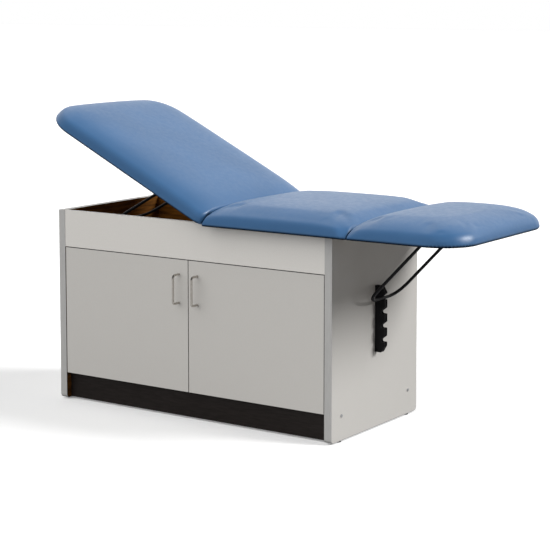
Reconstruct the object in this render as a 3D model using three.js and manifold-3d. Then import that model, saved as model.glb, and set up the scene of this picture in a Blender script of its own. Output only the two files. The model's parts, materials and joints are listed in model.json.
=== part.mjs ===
// Medical exam table: a wooden cabinet on glides with two doors, and a three-section upholstered top.
// The back section and the leg section are hinged to the seat and held by wire props in notched racks.
//
// Millimetres. +X runs from the head end to the foot end, the doors face -Y, and +Z is up.
// Depth is measured from the middle of the cabinet and height from the floor. Lengths along the cabinet
// are measured from the outer face of its left end panel, and one group moves the whole table so that
// its origin is on the floor, under the middle of its outline.

import * as THREE from 'three';
import { mergeVertices } from 'three/addons/utils/BufferGeometryUtils.js';
import Module from 'manifold-3d';

const wasm = await Module();
wasm.setup();

// ---------------------------------------------------------------- driving dimensions

const touchGap = 0.3; // between two pieces that touch
const overrun = 1; // how far a cutting shape runs past the piece it cuts
const cornerSteps = 14; // straight pieces in a quarter of a pad's plan corner
const rackSteps = 4; // and in the small curves of a rack
const cupSides = 24; // flat sides of a round hinge cup or bore
const originFromHeadPanel = 830;

const cabinet = { length: 1192, depth: 574, height: 710.7 };
const endPanel = { thickness: 28.6, edging: 1.8, bottom: 5.3, cornerRadius: 14 };
const glide = { radius: 13, height: 5, inset: 60 };
const boardThickness = 18; // doors, apron, decks and section boards
const backPanelThickness = 16;
const doorBottom = 103;
const doorTop = 573;
const doorGap = 3;
const apronBottom = 576;
const bottomDeckLow = 103;
const wellDeckTop = 618.7;
const toeKick = { low: 8, high: 102.6, setback: 23 };
const crossRail = { x: 726, thickness: 18 };

const axisHeight = 706; // both section hinges, 5 mm under the boards
const backAxisX = 687;
const legAxisX = 1275;
const backRestAngle = 26; // degrees above flat, as the table stands
const backMostRaise = 26; // degrees more, in the last notch

const pad = { width: 686, thickness: 75, sectionGap: 0.8, topRadius: 18, endRadius: 24, foamEdge: 12 };
const backPad = { length: 801, cornerRadius: 125 };
const legPad = { length: 415, cornerRadius: 130 };
const boardAboveAxis = 5;
const boardEndSetback = 12; // where two boards fold towards each other
const boardLegSetback = 3; // at the hinge of the leg section, which folds away
const padLowerEdgeRadius = 8; // at a free end
const boardCornerRadius = { back: 25, leg: 45 }; // beside each hinge, where the cover is pulled down

const hinge = { knuckleRadius: 4.4, boreRadius: 1.9, pinRadius: 1.5, leafWidth: 32, leafLow: 2.9,
  leafHigh: 4.7, length: 522, knuckles: 9 };

const wireRadius = 5.5;
const prop = { spacing: 205, centreY: -12, cornerBend: 70, endBend: 9, pivotDrop: 4, stub: 24 };
const backProp = { pivotFromHinge: 290, crossbar: { x: 113, z: 657 } };
const legProp = { pivotFromHinge: 182, crossbar: { x: 1222.8, z: 462 } };
const bracket = { length: 26, width: 18, bore: 5.75, below: 8.5 };

const rack = { depth: 40, width: 16, metal: 3, notchDepth: 16, notchAbove: 16.5, notchBelow: 5.8 };
// A rack's ends slope from its edge to its web: run is along the depth and rise along the length.
const rackEnds = { startRun: 14, startRise: 24, startRadius: 8, endRun: 13, endRise: 22, endRadius: 3 };
const notchShape = { lipRadius: 1.5, seatRadius: 5, slopeStart: 3, slopeRadius: 3 };
const backRackDepth = 31; // its teeth end just under the crossbar, which slides over them
const backRackPast = { firstNotch: 34, lastNotch: 44 }; // how far the back rack runs on at its ends
const legRackPitch = 49.3;
const legRackLow = 271;
const legRackHigh = 504;
const notchCount = 4;

const doorAxisInset = 1.5; // a door's hinge axis to the end panel's inner face
const cup = { fromAxis: 24, radius: 17, depth: 12, flangeRadius: 24, pivotFromFront: 24 };
// The ears stand on the cup's flange and hold the link's pin between them.
const ear = { wall: 1.5, halfLength: 5, gap: 5.8, seatReach: 18, pastPin: 5 };
const link = { halfThickness: 1.5, halfHeight: 5, beforePin: 2.5, length: 60 };
// The arm's plate is fixed to the end panel; its channel holds the link. Depths are from the door's face
// and distances from the hinge axis.
const arm = { plateFrom: 50, plateTo: 100, plateHalfHeight: 20, plateThickness: 1.5, channelFrom: 31.5,
  channelTo: 96, widensAt: 58, lap: 2, nearWide: 1, nearNarrow: 14, far: 38.2, gap: 5.6, wall: 1.5 };
const doorHingeHeights = [doorBottom + 85, doorTop - 85];
const handle = { spacing: 101.6, projection: 35, wire: 4, bend: 11, low: 419, fromDoorEdge: 39 };
const screw = { radius: 5.5, head: 2, height: 91, fromEdges: 63 };

// ---------------------------------------------------------------- worked-out sizes

const front = -cabinet.depth / 2 + 1; // doors and apron stand 1 mm inside the panels' edging
const back = cabinet.depth / 2 - 1;
const innerLeft = endPanel.thickness;
const innerRight = cabinet.length - endPanel.thickness;
const doorBack = front + boardThickness;
const padHalfWidth = pad.width / 2;
const boardHalfWidth = padHalfWidth - pad.foamEdge;
const radians = THREE.MathUtils.degToRad;
// Where the back is fully raised its pad and the seat's meet on one plane, so each end leans by half.
const meetingSlope = Math.tan(radians((backRestAngle + backMostRaise) / 2));

// ---------------------------------------------------------------- materials

const finish = (color, roughness, metalness = 0) =>
  new THREE.MeshStandardMaterial({ color, roughness, metalness });
const vinyl = finish(0x5f87b4, 0.5);
const laminate = finish(0xbebbb5, 0.55);
const edging = finish(0xa9acae, 0.4);
const rawBoard = finish(0x5a370f, 0.8);
const kickBoard = finish(0x231e1c, 0.7);
const plywood = finish(0x9c7a4f, 0.8);
const blackSteel = finish(0x141414, 0.4, 0.6);
const brushedSteel = finish(0xa8a49c, 0.35, 1);
const zincSteel = finish(0x8e9092, 0.45, 1);
const glidePlastic = finish(0x1c1c1c, 0.7);

// ---------------------------------------------------------------- geometry helpers

function addPart(parent, name, geometry, material) {
  const mesh = new THREE.Mesh(geometry, material);
  mesh.name = name;
  parent.add(mesh);
}

function block(x0, x1, y0, y1, z0, z1) {
  const box = new THREE.BoxGeometry(Math.abs(x1 - x0), Math.abs(y1 - y0), Math.abs(z1 - z0));
  return box.translate((x0 + x1) / 2, (y0 + y1) / 2, (z0 + z1) / 2);
}

// A closed outline through corners [u, v] or [u, v, radius], in order, with each radius as an arc.
function outline(corners) {
  const shape = new THREE.Shape();
  corners.forEach(([u, v, radius = 0], index) => {
    const corner = new THREE.Vector2(u, v);
    const before = new THREE.Vector2(...corners.at(index - 1)).sub(corner).normalize();
    const after = new THREE.Vector2(...corners[(index + 1) % corners.length]).sub(corner).normalize();
    const halfAngle = Math.acos(before.dot(after)) / 2;
    const start = corner.clone().addScaledVector(before, radius / Math.tan(halfAngle));
    if (index === 0) shape.moveTo(start.x, start.y);
    else shape.lineTo(start.x, start.y);
    if (radius > 0) {
      const end = corner.clone().addScaledVector(after, radius / Math.tan(halfAngle));
      const toCentre = before.clone().add(after).normalize();
      const centre = corner.clone().addScaledVector(toCentre, radius / Math.sin(halfAngle));
      const from = start.sub(centre).angle();
      const to = end.sub(centre).angle();
      shape.absarc(centre.x, centre.y, radius, from, to, before.cross(after) > 0);
    }
  });
  return shape;
}

// Extrudes a shape along one axis, between two places on it. A shape for 'x' is drawn in (y, z), one
// for 'y' in (x, z) and one for 'z' in (x, y).
function prism(shape, axis, from, to, curveSegments = 6) {
  const solid = new THREE.ExtrudeGeometry(shape, { depth: to - from, bevelEnabled: false, curveSegments });
  if (axis === 'x') {
    const turn = new THREE.Matrix4().makeBasis(
      new THREE.Vector3(0, 1, 0), new THREE.Vector3(0, 0, 1), new THREE.Vector3(1, 0, 0));
    return solid.applyMatrix4(turn).translate(from, 0, 0);
  }
  if (axis === 'y') return solid.rotateX(Math.PI / 2).translate(0, to, 0);
  return solid.translate(0, 0, from);
}

function cylinderAlongY(radius, x, z, y0, y1, sides = 16) {
  const rod = new THREE.CylinderGeometry(radius, radius, y1 - y0, sides);
  return rod.translate(x, (y0 + y1) / 2, z);
}

function toManifold(geometry) {
  const bare = geometry.clone();
  bare.deleteAttribute('normal');
  bare.deleteAttribute('uv');
  const merged = mergeVertices(bare, 1e-4);
  const vertProperties = Float32Array.from(merged.attributes.position.array);
  const triVerts = Uint32Array.from(merged.index.array);
  return new wasm.Manifold(new wasm.Mesh({ numProp: 3, vertProperties, triVerts }));
}

function fromManifold(manifold) {
  const mesh = manifold.getMesh();
  const geometry = new THREE.BufferGeometry();
  geometry.setAttribute('position', new THREE.BufferAttribute(mesh.vertProperties, 3));
  geometry.setIndex(new THREE.BufferAttribute(mesh.triVerts, 1));
  geometry.computeVertexNormals();
  return geometry;
}

const join = (first, ...others) =>
  fromManifold(others.reduce((solid, other) => solid.add(toManifold(other)), toManifold(first)));
const cut = (first, ...tools) =>
  fromManifold(tools.reduce((solid, tool) => solid.subtract(toManifold(tool)), toManifold(first)));
const common = (first, second) => fromManifold(toManifold(first).intersect(toManifold(second)));

// A route through fixed points, with its own direction at each of them.
class Route extends THREE.Curve {
  constructor(points, directions) {
    super();
    this.points = points;
    this.directions = directions;
  }

  getPointAt(fraction) {
    return this.points[Math.round(fraction * (this.points.length - 1))].clone();
  }

  getTangentAt(fraction) {
    return this.directions[Math.round(fraction * (this.points.length - 1))].clone();
  }
}

// Round wire along straight runs between corners [x, y, z, bend], where bend is how far from the corner
// its curve starts.
function wire(corners, radius, bendSteps = 8, sides = 12) {
  const places = corners.map(([x, y, z]) => new THREE.Vector3(x, y, z));
  const towards = (from, to) => to.clone().sub(from).normalize();
  const points = [places[0]];
  const directions = [towards(places[0], places[1])];
  for (let index = 1; index < places.length - 1; index += 1) {
    const [before, corner, after] = places.slice(index - 1, index + 2);
    const start = corner.clone().addScaledVector(towards(corner, before), corners[index][3]);
    const end = corner.clone().addScaledVector(towards(corner, after), corners[index][3]);
    const curve = new THREE.QuadraticBezierCurve3(start, corner, end);
    for (let step = 0; step <= bendSteps; step += 1) {
      points.push(curve.getPoint(step / bendSteps));
      directions.push(curve.getTangent(step / bendSteps));
    }
  }
  points.push(places.at(-1));
  directions.push(towards(places.at(-2), places.at(-1)));
  const section = new THREE.Shape();
  for (let side = 0; side < sides; side += 1) {
    const angle = (2 * Math.PI * side) / sides;
    const place = [radius * Math.cos(angle), radius * Math.sin(angle)];
    if (side === 0) section.moveTo(...place);
    else section.lineTo(...place);
  }
  const extrudePath = new Route(points, directions);
  return new THREE.ExtrudeGeometry(section, { extrudePath, steps: points.length - 1 });
}

// ---------------------------------------------------------------- cabinet

function addEndPanels(table) {
  const outer = (inset) => {
    const low = endPanel.bottom + inset;
    const half = cabinet.depth / 2 - inset;
    const radius = endPanel.cornerRadius - inset;
    return [[-half, low, radius], [half, low, radius], [half, cabinet.height], [-half, cabinet.height]];
  };
  const sides = { left: 0, right: innerRight };
  for (const [side, x] of Object.entries(sides)) {
    const far = x + endPanel.thickness;
    const panel = prism(outline(outer(endPanel.edging + touchGap)), 'x', x, far);
    addPart(table, `${side}_end_panel`, panel, laminate);
    const inside = outer(endPanel.edging);
    inside[2][1] += overrun;
    inside[3][1] += overrun;
    const band = cut(prism(outline(outer(0)), 'x', x, far), prism(outline(inside), 'x', x - overrun,
      far + overrun));
    addPart(table, `${side}_panel_edging`, band, edging);
    addGlidesAndScrews(table, side, x);
  }
}

function addGlidesAndScrews(table, side, x) {
  const middle = x + endPanel.thickness / 2;
  const screwBase = side === 'left' ? -touchGap : cabinet.length + touchGap;
  const screwTop = screwBase + (side === 'left' ? -screw.head : screw.head);
  for (const [place, sign] of [['front', -1], ['rear', 1]]) {
    const foot = new THREE.CylinderGeometry(glide.radius, glide.radius, glide.height, 20);
    foot.rotateX(Math.PI / 2).translate(middle, sign * (cabinet.depth / 2 - glide.inset), glide.height / 2);
    addPart(table, `${side}_${place}_glide`, foot, glidePlastic);
    const head = new THREE.CylinderGeometry(screw.radius, screw.radius, screw.head, 16);
    head.rotateZ(Math.PI / 2);
    head.translate((screwBase + screwTop) / 2, sign * (cabinet.depth / 2 - screw.fromEdges), screw.height);
    addPart(table, `${side}_${place}_panel_screw`, head, zincSteel);
  }
}

function addCarcass(table) {
  const x0 = innerLeft + touchGap;
  const x1 = innerRight - touchGap;
  const deckFront = doorBack + touchGap;
  const deckBack = back - backPanelThickness - touchGap;
  const backPanel = block(x0, x1, back - backPanelThickness, back, toeKick.low, cabinet.height);
  addPart(table, 'back_panel', backPanel, rawBoard);
  const bottomDeck = block(x0, x1, deckFront, deckBack, bottomDeckLow, bottomDeckLow + boardThickness);
  addPart(table, 'bottom_deck', bottomDeck, rawBoard);
  const wellDeck = block(x0, x1, deckFront, deckBack, wellDeckTop - boardThickness, wellDeckTop);
  addPart(table, 'well_deck', wellDeck, rawBoard);
  addPart(table, 'front_apron', block(x0, x1, front, doorBack, apronBottom, cabinet.height), laminate);
  const kickFront = front + toeKick.setback;
  const kick = block(x0, x1, kickFront, kickFront + boardThickness, toeKick.low, toeKick.high);
  addPart(table, 'toe_kick', kick, kickBoard);
  const railLow = wellDeckTop + touchGap;
  const rail = block(crossRail.x, crossRail.x + crossRail.thickness, deckFront, deckBack,
    railLow, cabinet.height);
  addPart(table, 'seat_cross_rail', rail, rawBoard);
}

// ---------------------------------------------------------------- doors

function addDoor(table, side) {
  const sign = side === 'left' ? 1 : -1; // from the hinge towards the middle
  const axisX = side === 'left' ? innerLeft + doorAxisInset : innerRight - doorAxisInset;
  const hingeEdge = axisX + sign * (doorGap - doorAxisInset);
  const middleEdge = (innerLeft + innerRight) / 2 - (sign * doorGap) / 2;
  const cupX = axisX + sign * cup.fromAxis;
  const slab = block(hingeEdge, middleEdge, front, doorBack, doorBottom, doorTop);
  const bores = doorHingeHeights.map((height) =>
    cylinderAlongY(cup.radius + touchGap, cupX, height, doorBack - cup.depth - touchGap,
      doorBack + overrun, cupSides));
  addPart(table, `${side}_door`, cut(slab, ...bores), laminate);
  addHandle(table, side, middleEdge - sign * handle.fromDoorEdge);
  doorHingeHeights.forEach((height, index) => {
    const name = `${side}_${['lower', 'upper'][index]}_door_hinge`;
    addPart(table, `${name}_cup`, hingeCup(cupX, height), zincSteel);
    addPart(table, `${name}_link`, hingeLink(cupX, height), zincSteel);
    addPart(table, `${name}_arm`, hingeArm(axisX, sign, height), zincSteel);
  });
}

function addHandle(table, side, x) {
  const face = front - touchGap;
  const reach = front - handle.projection;
  const high = handle.low + handle.spacing;
  const route = [[x, face, handle.low], [x, reach, handle.low, handle.bend],
    [x, reach, high, handle.bend], [x, face, high]];
  addPart(table, `${side}_door_handle`, wire(route, handle.wire), brushedSteel);
}

// The cup sunk in the door's back, with a flange on the face and two ears that hold the link's pin.
function hingeCup(x, height) {
  const flange = doorBack + touchGap;
  const bottom = doorBack - cup.depth;
  const wall = ear.wall;
  const profile = [[0, bottom], [cup.radius, bottom], [cup.radius, flange], [cup.flangeRadius, flange],
    [cup.flangeRadius, flange + wall], [cup.radius - wall, flange + wall],
    [cup.radius - wall, bottom + wall], [0, bottom + wall]];
  const shell = new THREE.LatheGeometry(profile.map((place) => new THREE.Vector2(...place)), cupSides);
  shell.translate(x, 0, height);
  const pivot = front + cup.pivotFromFront;
  const plate = (sign, top, reach) => block(x - ear.halfLength, x + ear.halfLength, flange, top,
    height + sign * ear.gap, height + sign * reach);
  const ears = [-1, 1].map((sign) => plate(sign, pivot + ear.pastPin, ear.gap + wall));
  const seats = [-1, 1].map((sign) => plate(sign, flange + wall, ear.seatReach));
  return join(shell, ...ears, ...seats);
}

// A flat bar from the cup's pin into the arm. It stays square to the cabinet's front as the door turns.
function hingeLink(x, height) {
  const pivot = front + cup.pivotFromFront;
  const half = link.halfThickness;
  return block(x - half, x + half, pivot - link.beforePin, pivot + link.length,
    height - link.halfHeight, height + link.halfHeight);
}

// A plate on the end panel, with a channel that the link slides in.
function hingeArm(axisX, sign, height) {
  const at = (distance) => axisX + sign * distance;
  const plate = block(at(touchGap - doorAxisInset), at(arm.plateThickness), front + arm.plateFrom,
    front + arm.plateTo, height - arm.plateHalfHeight, height + arm.plateHalfHeight);
  const flange = (level, near, from, to) => block(at(near), at(arm.far), front + from, front + to,
    height + level * arm.gap, height + level * (arm.gap + arm.wall));
  const flanges = [-1, 1].map((level) => join(
    flange(level, arm.nearWide, arm.widensAt, arm.channelTo),
    flange(level, arm.nearNarrow, arm.channelFrom, arm.widensAt + arm.lap)));
  const web = block(at(arm.far - arm.wall), at(arm.far), front + arm.channelFrom, front + arm.channelTo,
    height - arm.gap - arm.wall, height + arm.gap + arm.wall);
  return join(plate, ...flanges, web);
}

// ---------------------------------------------------------------- upholstered sections

// A pad with its board set into it from below. Both are drawn from the hinge axis: x along the section,
// z up. side is the outline of the pad seen from the side, plan its outline from above.
function addSection(parent, name, side, plan, boardPlan, boardX) {
  const whole = common(prism(side, 'y', -padHalfWidth, padHalfWidth),
    prism(plan, 'z', -overrun, pad.thickness + overrun, cornerSteps));
  const [boardLow, boardHigh] = [boardAboveAxis, boardAboveAxis + boardThickness];
  const pocket = prism(boardPlan(touchGap), 'z', -overrun, boardHigh + touchGap, cornerSteps);
  const undercut = block(...boardX, -boardHalfWidth - touchGap, boardHalfWidth + touchGap,
    -overrun, boardLow + touchGap);
  addPart(parent, `${name}_pad`, cut(whole, pocket, undercut), vinyl);
  addPart(parent, `${name}_board`, prism(boardPlan(0), 'z', boardLow, boardHigh, cornerSteps), plywood);
}

function rectangle(x0, x1, halfWidth, startRadius, endRadius) {
  return outline([[x0, -halfWidth, startRadius], [x1, -halfWidth, endRadius],
    [x1, halfWidth, endRadius], [x0, halfWidth, startRadius]]);
}

function addSeat(seat) {
  const length = legAxisX - backAxisX;
  const top = pad.thickness;
  const lean = pad.sectionGap + top * meetingSlope;
  const end = length - pad.sectionGap;
  const side = outline([[pad.sectionGap, 0], [end, 0], [end, top, pad.topRadius],
    [lean, top, pad.topRadius]]);
  const boardPlan = (margin) =>
    rectangle(boardEndSetback - margin, length - boardLegSetback + margin, boardHalfWidth + margin,
      boardCornerRadius.back, boardCornerRadius.leg);
  addSection(seat, 'seat', side, rectangle(0, length, padHalfWidth, 0, 0), boardPlan,
    [-overrun, length + overrun]);
}

function addBack(section) {
  const top = pad.thickness;
  const far = -backPad.length;
  const lean = -pad.sectionGap - top * meetingSlope;
  const side = outline([[far, 0, padLowerEdgeRadius], [-pad.sectionGap, 0], [lean, top, pad.topRadius],
    [far, top, pad.endRadius]]);
  const plan = rectangle(far, 0, padHalfWidth, backPad.cornerRadius, 0);
  const boardPlan = (margin) => rectangle(far + pad.foamEdge - margin, -boardEndSetback + margin,
    boardHalfWidth + margin, backPad.cornerRadius - pad.foamEdge, boardCornerRadius.back);
  addSection(section, 'back', side, plan, boardPlan, [far + backPad.cornerRadius, overrun]);
}

function addLeg(section) {
  const top = pad.thickness;
  const far = legPad.length;
  const side = outline([[pad.sectionGap, 0], [far, 0, padLowerEdgeRadius],
    [far, top, pad.endRadius], [pad.sectionGap, top, pad.topRadius]]);
  const plan = rectangle(0, far, padHalfWidth, 0, legPad.cornerRadius);
  const boardPlan = (margin) => rectangle(boardLegSetback - margin, far - pad.foamEdge + margin,
    boardHalfWidth + margin, boardCornerRadius.leg, legPad.cornerRadius - pad.foamEdge);
  addSection(section, 'leg', side, plan, boardPlan, [-overrun, far - legPad.cornerRadius]);
}

// ---------------------------------------------------------------- section hinges

// One leaf of a continuous hinge, drawn from its axis. sign is the leaf's side of the axis, and first
// is the first of the knuckles that it owns, every other one of them.
function hingeLeaf(sign, first) {
  const pitch = hinge.length / hinge.knuckles;
  const start = -hinge.length / 2;
  const pieces = [block(sign * (hinge.knuckleRadius + 0.6), sign * hinge.leafWidth,
    start, -start, hinge.leafLow, hinge.leafHigh)];
  for (let index = first; index < hinge.knuckles; index += 2) {
    const y0 = start + index * pitch + touchGap;
    const y1 = start + (index + 1) * pitch - touchGap;
    pieces.push(cylinderAlongY(hinge.knuckleRadius, 0, 0, y0, y1));
    pieces.push(block(0, sign * (hinge.knuckleRadius + 1), y0, y1, hinge.leafLow, hinge.knuckleRadius - 0.1));
  }
  return cut(join(...pieces), cylinderAlongY(hinge.boreRadius, 0, 0, start - 1, 1 - start));
}

function addSectionHinge(fixed, moving, name, movingSign) {
  addPart(fixed, `${name}_hinge_seat_leaf`, hingeLeaf(-movingSign, 0), zincSteel);
  addPart(moving, `${name}_hinge_moving_leaf`, hingeLeaf(movingSign, 1), zincSteel);
  const half = hinge.length / 2 - 0.5;
  addPart(fixed, `${name}_hinge_pin`, cylinderAlongY(hinge.pinRadius, 0, 0, -half, half, 12), zincSteel);
}

// ---------------------------------------------------------------- props and racks

// A U of wire whose turned-out ends sit in two brackets under a section's board. pivot is where the
// ends turn and crossbar is the middle of the U's far end, both as [x, z] from the section's hinge.
function addProp(section, name, pivot, crossbar) {
  const half = prop.spacing / 2;
  const place = ([x, z], y, bend = 0) => [x, prop.centreY + y, z, bend];
  const route = [place(pivot, -half - prop.stub), place(pivot, -half, prop.endBend),
    place(crossbar, -half, prop.cornerBend), place(crossbar, half, prop.cornerBend),
    place(pivot, half, prop.endBend), place(pivot, half + prop.stub)];
  addPart(section, `${name}_prop`, wire(route, wireRadius), blackSteel);
  for (const [side, sign] of [['front', -1], ['rear', 1]]) {
    const middle = prop.centreY + sign * (half + prop.stub / 2 + 5);
    const body = block(pivot[0] - bracket.length / 2, pivot[0] + bracket.length / 2,
      middle - bracket.width / 2, middle + bracket.width / 2,
      pivot[1] - bracket.below, boardAboveAxis - touchGap);
    const bore = cylinderAlongY(bracket.bore, pivot[0], pivot[1],
      middle - bracket.width, middle + bracket.width, 24);
    addPart(section, `${name}_prop_${side}_bracket`, cut(body, bore), blackSteel);
  }
}

// A channel of bent plate with a row of hooked notches through both of its edges. It is drawn with its
// web on the plane h = 0 and its length along s, as a shape in (h, s), and s runs against the load.
function rackOutline(low, high, side, notches) {
  const bottomOf = side - rack.notchDepth;
  const corners = [[0, low], [side - rackEnds.startRun, low, rackEnds.startRadius],
    [side, low + rackEnds.startRise, rackEnds.startRadius]];
  for (const rod of notches) {
    corners.push([side, rod - rack.notchBelow, notchShape.lipRadius]);
    corners.push([bottomOf, rod - rack.notchBelow, notchShape.seatRadius]);
    corners.push([bottomOf, rod + notchShape.slopeStart, notchShape.slopeRadius]);
    corners.push([side, rod + rack.notchAbove]);
  }
  corners.push([side, high - rackEnds.endRise, rackEnds.endRadius], [side - rackEnds.endRun, high],
    [0, high]);
  return corners;
}

function addLegRack(table) {
  const face = cabinet.length + touchGap;
  const half = rack.width / 2;
  const notches = [];
  for (let index = notchCount - 1; index >= 0; index -= 1) {
    notches.push(legProp.crossbar.z - index * legRackPitch);
  }
  const corners = rackOutline(legRackLow, legRackHigh, rack.depth, notches)
    .map(([h, s, radius]) => [face + h, s, radius]);
  const edges = prism(outline(corners), 'y', -half, half, rackSteps);
  const inside = block(face + rack.metal, face + rack.depth + overrun, -half + rack.metal,
    half - rack.metal, legRackLow - overrun, legRackHigh + overrun);
  addPart(table, 'leg_rack', cut(edges, inside), blackSteel);
}

// How far along the well the crossbar lies when the back stands at an angle above flat.
function crossbarPlace(angle) {
  const turn = radians(angle);
  const reach = backProp.pivotFromHinge;
  const pivotX = backAxisX - reach * Math.cos(turn) - prop.pivotDrop * Math.sin(turn);
  const pivotZ = axisHeight + reach * Math.sin(turn) - prop.pivotDrop * Math.cos(turn);
  return pivotX - Math.sqrt(backProp.length ** 2 - (pivotZ - backProp.crossbar.z) ** 2);
}

function addBackRack(table) {
  const base = wellDeckTop + touchGap;
  const half = rack.width / 2;
  const notches = [];
  for (let index = 0; index < notchCount; index += 1) {
    notches.push(crossbarPlace(backRestAngle + (backMostRaise * index) / (notchCount - 1)));
  }
  const low = notches[0] - backRackPast.firstNotch;
  const high = notches.at(-1) + backRackPast.lastNotch;
  const corners = rackOutline(low, high, backRackDepth, notches)
    .map(([h, s, radius]) => [s, base + h, radius]);
  const edges = prism(outline(corners), 'y', -half, half, rackSteps);
  const inside = block(low - overrun, high + overrun, -half + rack.metal, half - rack.metal,
    base + rack.metal, base + backRackDepth + overrun);
  addPart(table, 'back_rack', cut(edges, inside), blackSteel);
}

// ---------------------------------------------------------------- assembly

const table = new THREE.Group();
table.position.x = -originFromHeadPanel;

addEndPanels(table);
addCarcass(table);
addDoor(table, 'left');
addDoor(table, 'right');

const seat = new THREE.Group();
seat.position.set(backAxisX, 0, axisHeight);
table.add(seat);
addSeat(seat);

const backSection = new THREE.Group();
backSection.position.copy(seat.position);
backSection.rotation.y = radians(backRestAngle);
table.add(backSection);
addBack(backSection);

const legSection = new THREE.Group();
legSection.position.set(legAxisX, 0, axisHeight);
table.add(legSection);
addLeg(legSection);
const legHingeSeatSide = new THREE.Group();
legHingeSeatSide.position.copy(legSection.position);
table.add(legHingeSeatSide);
addSectionHinge(legHingeSeatSide, legSection, 'leg', 1);
addSectionHinge(seat, backSection, 'back', -1);

const backPivot = [-backProp.pivotFromHinge, -prop.pivotDrop];
const backCrossbar = new THREE.Vector3(backProp.crossbar.x - backAxisX, 0, backProp.crossbar.z - axisHeight)
  .applyAxisAngle(new THREE.Vector3(0, 1, 0), -radians(backRestAngle));
backProp.length = Math.hypot(backCrossbar.x - backPivot[0], backCrossbar.z - backPivot[1]);
addProp(backSection, 'back', backPivot, [backCrossbar.x, backCrossbar.z]);
addProp(legSection, 'leg', [legProp.pivotFromHinge, -prop.pivotDrop],
  [legProp.crossbar.x - legAxisX, legProp.crossbar.z - axisHeight]);
addLegRack(table);
addBackRack(table);

const root = new THREE.Group();
root.add(table);
root.updateMatrixWorld(true);

export default root;
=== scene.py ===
"""Medical exam table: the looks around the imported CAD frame, in metres, +X to the foot, +Z up."""

import json
import math
from collections import namedtuple

import bpy
import numpy as np
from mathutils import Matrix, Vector


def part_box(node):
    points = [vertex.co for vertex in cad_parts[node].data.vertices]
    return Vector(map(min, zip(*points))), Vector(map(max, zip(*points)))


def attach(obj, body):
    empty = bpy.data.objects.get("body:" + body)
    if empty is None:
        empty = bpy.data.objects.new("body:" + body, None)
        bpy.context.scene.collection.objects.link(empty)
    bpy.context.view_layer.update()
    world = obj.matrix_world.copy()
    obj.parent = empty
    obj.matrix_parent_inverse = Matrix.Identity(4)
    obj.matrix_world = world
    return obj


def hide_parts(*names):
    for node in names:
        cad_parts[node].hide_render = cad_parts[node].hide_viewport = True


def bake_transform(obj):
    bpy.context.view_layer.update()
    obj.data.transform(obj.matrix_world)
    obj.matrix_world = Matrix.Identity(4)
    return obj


# ------------------------------------------------------------------ driving values
MM = 0.001

CAMERA_LENS = 109.21       # mm, on a 36 mm sensor
CAMERA_PLACE = (3.2663, -4.8965, 1.4913)
CAMERA_YAW = 34.19         # degrees from +Y towards -X
CAMERA_PITCH = 5.75        # degrees down
CAMERA_SHIFT = -0.2        # keeps the cabinet's uprights nearly parallel

PAD_LENGTH = {"seat": 0.588, "back": 0.801, "leg": 0.415}
PAD_HALF_WIDTH = 0.343
END_RADIUS = {"back": 0.135, "leg": 0.132}   # plan radius of the free corners
START_RADIUS = {"seat": 14 * MM, "back": 34 * MM, "leg": 12 * MM}  # and of those at the hinge
CREASE_RADIUS = 16 * MM    # plan radius of the seat's corners beside the leg rest
BOARD_RADIUS = {"back": 23 * MM, "leg": 43 * MM}   # the pocket's corners, by hinge
EDGE_HEIGHT = 36 * MM      # height of a pad's side
CROWN_RISE = 41 * MM       # how much higher the middle is
CROWN_SPREAD = 45 * MM     # how fast the top climbs from the side
CROWN_MIDDLE = 4 * MM      # and how much it still climbs from there to the middle
CREASE_SPREAD = 50 * MM    # how fast it climbs from a crease
BACK_CREASE = 0.765        # height beside a crease, as a share of the full height
LEG_CREASE = 0.63
CREASE_LEAN = math.tan(math.radians(13))  # half the back's rest angle
BACK_ANGLE = 26            # degrees the back is raised at rest
CREASE_GAP = 0.8 * MM
LEAN_REACH = 0.2           # how far into the pad the lean of a crease's face is felt
ROUND_FREE, ROUND_CREASE = 16 * MM, 9 * MM  # radii of the top's edge, free and at a crease
HINGE_HALF, HINGE_FADE = 290 * MM, 15 * MM  # the part of a crease that the hinge lies under
HINGE_ROOM = 5.2 * MM      # how much higher the cover stays there
COVER_LOW = 0.4 * MM       # the cover's lowest point over the hinge axis
UNDERCUT_SLOPE, UNDERCUT = 0.48, 11.2 * MM  # room in the seat's face for the raised back's board
BOARD_INSET = 11.6 * MM    # pad side to the board's pocket
BACK_CREASE_INSET = 11.6 * MM
LEG_CREASE_INSET = 2.6 * MM
BOARD_HIGH = 23.3 * MM     # height of the board's top, with a gap
HEM_WIDTH = 44 * MM        # how far the cover is turned in under the board
GRID = 11 * MM             # size of a pad's mesh faces before subdivision
ARC_STEPS = 24             # faces round a free corner
SMALL_ARC_STEPS = 4        # and round a corner beside a crease
RELAX_ROUNDS = 150         # of the grid that fills a top
SMOOTH_ROUNDS = 8          # of its heights
CLOTH_FRAMES = 20          # of simulation
SMALLEST_RADIUS = 3 * MM
SWELL = 2.5 * MM           # how much smaller a pad starts than its simulated shape
LOWEST_TOP = 7 * MM        # at the corners that are pulled down
SWELL_CAP = 7 * MM         # the furthest the simulation may move a point
SINK_CAP = 1 * MM          # and the furthest towards the board, which lies just inside
HELD_BELOW, FREE_ABOVE = 14 * MM, 28 * MM  # heights that the simulation holds and lets go
FIRM_BELOW, CREASE_DEPTH = 36 * MM, 30 * MM  # where a pad may not swell across its crease
PLEAT_PITCH = 12 * MM
PLEAT_DEPTH = 2.2 * MM
PLEAT_HEIGHT = 22 * MM     # how far up the side they reach
PLEAT_INWARD = 13 * MM     # how far in from the side they start
PLEAT_FADE = 0.25          # radians at either end of a corner's arc
PLEAT_SHARPNESS = 0.6      # below 1 the furrows are narrower than the folds
PLEAT_MEAN = 0.6           # taken off the wave, so that pleats go in as well as out
HEM_SHADE = 11 * MM        # height of the strip of painted shade, dark and dull, along a pad's lower edge
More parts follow.
